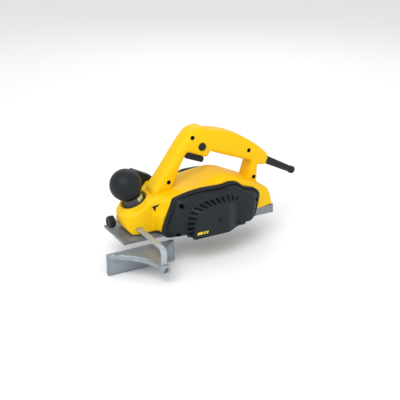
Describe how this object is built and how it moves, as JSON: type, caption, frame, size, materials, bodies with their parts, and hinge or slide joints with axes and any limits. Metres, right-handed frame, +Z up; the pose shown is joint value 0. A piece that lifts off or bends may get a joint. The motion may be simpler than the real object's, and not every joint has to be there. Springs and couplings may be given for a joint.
{
  "type": "electric hand planer",
  "caption": "Hand-held electric planer with a belt-driven cutter block, loop handle, ball depth knob, adjustable front shoe and a clamped edge fence.",
  "frame": {"origin": "middle of the rear sole face, on the sole plane", "axes": "-X is the planing direction, towards the depth knob; +Y is the tool's right side, away from the belt cover; +Z up from the sole"},
  "size_m": [0.3922, 0.1933, 0.2115],
  "materials": {
    "yellow_plastic": "moulded glass-filled nylon, satin, yellow",
    "black_plastic": "moulded, fine grained, black",
    "black_rubber": "matt black rubber",
    "cast_aluminium": "cast and machined, satin grey",
    "polished_casting": "polished die casting",
    "plain_steel": "zinc plated or ground",
    "lamination": "stacked sheet steel",
    "copper_winding": "varnished copper",
    "carbide": "ground tungsten carbide",
    "carbon": "pressed carbon",
    "grey_plastic": "grey moulding"
  },
  "bodies": {
    "planer_body": {"rear_base": "cast_aluminium", "main_housing": "yellow_plastic", "handle_left": "yellow_plastic", "handle_right": "yellow_plastic", "handle_screw_legLow": "plain_steel", "handle_screw_legHigh": "plain_steel", "handle_screw_postHigh": "plain_steel", "handle_screw_postLow": "plain_steel", "trigger_pin": "plain_steel", "switch_body": "black_plastic", "capacitor": "grey_plastic", "cord_sleeve": "black_rubber", "cord_clamp": "black_plastic", "belt_cover": "black_plastic", "cover_screw_1": "plain_steel", "cover_screw_2": "plain_steel", "cover_screw_3": "plain_steel", "cover_screw_4": "plain_steel", "cover_screw_5": "plain_steel", "motor_cover": "black_plastic", "chip_chute": "black_plastic", "drum_bearing_left": "plain_steel", "drum_bearing_right": "plain_steel", "motor_bearing_left": "plain_steel", "motor_bearing_right": "plain_steel", "field_stator": "lamination", "brush_holder_front": "black_plastic", "brush_holder_rear": "black_plastic", "carbon_brush_front": "carbon", "carbon_brush_rear": "carbon", "drive_belt": "black_rubber"},
    "front_shoe": {"front_shoe": "cast_aluminium"},
    "depth_adjuster": {"depth_knob": "black_plastic", "depth_screw": "plain_steel", "depth_scale_ring": "grey_plastic"},
    "cutter_block": {"cutter_drum": "plain_steel", "blade_1": "carbide", "blade_2": "carbide", "blade_clamp_1": "plain_steel", "blade_clamp_2": "plain_steel", "blade_screw_1": "plain_steel", "blade_screw_2": "plain_steel", "blade_screw_3": "plain_steel", "blade_screw_4": "plain_steel", "blade_screw_5": "plain_steel", "blade_screw_6": "plain_steel", "drum_pulley": "plain_steel"},
    "motor_shaft": {"armature": "copper_winding", "commutator": "copper_winding", "cooling_fan": "black_plastic", "motor_pulley": "plain_steel"},
    "trigger": {"trigger": "black_plastic"},
    "switch_plunger": {"switch_plunger": "grey_plastic"},
    "lock_off_button": {"lock_off_button": "black_plastic"},
    "fence": {"fence_bar": "plain_steel", "fence_casting": "polished_casting", "fence_screw": "plain_steel"},
    "fence_clamp": {"clamp_knob": "black_plastic", "clamp_screw": "plain_steel"}
  },
  "joints": [
    {"name": "depth_turn", "type": "hinge", "parent": "planer_body", "child": "depth_adjuster", "pos_m": [-0.1684, 0, 0.0585], "axis": [0.4226, 0, -0.9063], "range_deg": [0, 330]},
    {"name": "shoe_lift", "type": "slide", "parent": "planer_body", "child": "front_shoe", "axis": [-0.4226, 0, 0.9063], "range_m": [0, 0.00276]},
    {"name": "cutter_spin", "type": "hinge", "parent": "planer_body", "child": "cutter_block", "pos_m": [-0.094, 0, 0.024], "axis": [0, 1, 0], "continuous": true},
    {"name": "motor_spin", "type": "hinge", "parent": "planer_body", "child": "motor_shaft", "pos_m": [-0.021, 0, 0.05], "axis": [0, 1, 0], "continuous": true},
    {"name": "trigger_squeeze", "type": "hinge", "parent": "planer_body", "child": "trigger", "pos_m": [-0.069, 0, 0.131], "axis": [0, -1, 0], "range_deg": [0, 9], "stiffness_Nm_per_rad": 0.3, "springref_deg": -17.19},
    {"name": "plunger_push", "type": "slide", "parent": "planer_body", "child": "switch_plunger", "axis": [0, 0, 1], "range_m": [0, 0.0036]},
    {"name": "lock_off_press", "type": "slide", "parent": "planer_body", "child": "lock_off_button", "axis": [0, 1, 0], "range_m": [0, 0.003], "stiffness_N_per_m": 150, "springref_m": -0.004},
    {"name": "fence_slide", "type": "slide", "parent": "planer_body", "child": "fence", "axis": [0, 1, 0], "range_m": [-0.02, 0.03]},
    {"name": "clamp_turn", "type": "hinge", "parent": "planer_body", "child": "fence_clamp", "pos_m": [-0.201, 0.017, 0.019], "axis": [-1, 0, 0], "range_deg": [0, 360]}
  ],
  "couplings": [
    {"joint": "shoe_lift", "follows": "depth_turn", "m_per_rad": 0.000478},
    {"joint": "motor_spin", "follows": "cutter_spin", "ratio": 1.5},
    {"joint": "plunger_push", "follows": "trigger_squeeze", "m_per_rad": 0.0215}
  ]
}
